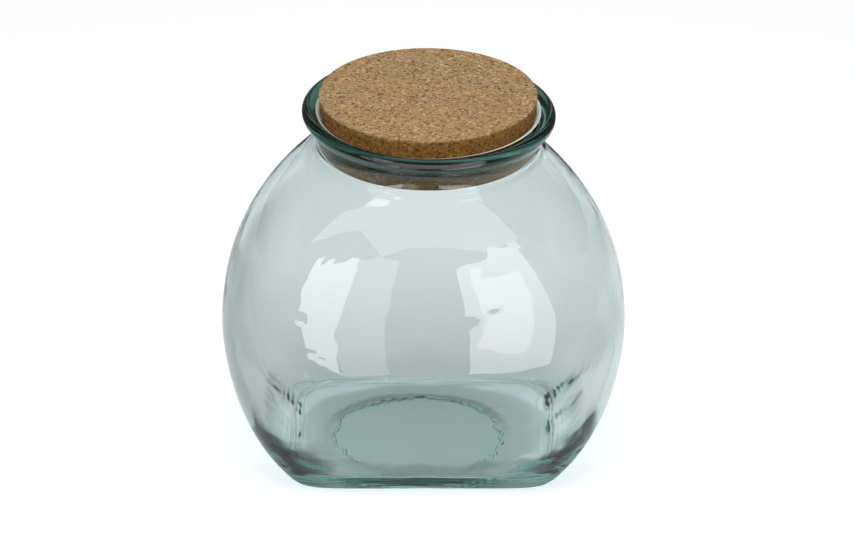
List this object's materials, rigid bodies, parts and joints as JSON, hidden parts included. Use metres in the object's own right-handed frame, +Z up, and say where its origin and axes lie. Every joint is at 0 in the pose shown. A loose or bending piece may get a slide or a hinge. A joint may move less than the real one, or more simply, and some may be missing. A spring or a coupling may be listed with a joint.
{
  "type": "glass jar with cork lid",
  "caption": "Squat flattened jar of thick tinted glass with a short neck and a rounded flared lip, closed by a tapered cork lid that lifts straight out.",
  "frame": {"origin": "centre of the flat base, where the jar rests", "axes": "+Z up along the mouth's axis, +X across the wide face, -Y out of the front face the picture shows"},
  "size_m": [0.241, 0.1464, 0.236],
  "materials": {
    "glass": "clear, faintly blue-green, darker where it is thick",
    "cork": "pressed cork granules, matt, browner on the sloping side"
  },
  "bodies": {
    "jar": {"glass_jar": "glass"},
    "lid": {"cork_lid": "cork"}
  },
  "joints": [
    {"name": "lid_lift", "type": "slide", "parent": "jar", "child": "lid", "axis": [0, 0, 1], "range_m": [0, 0.05]}
  ]
}
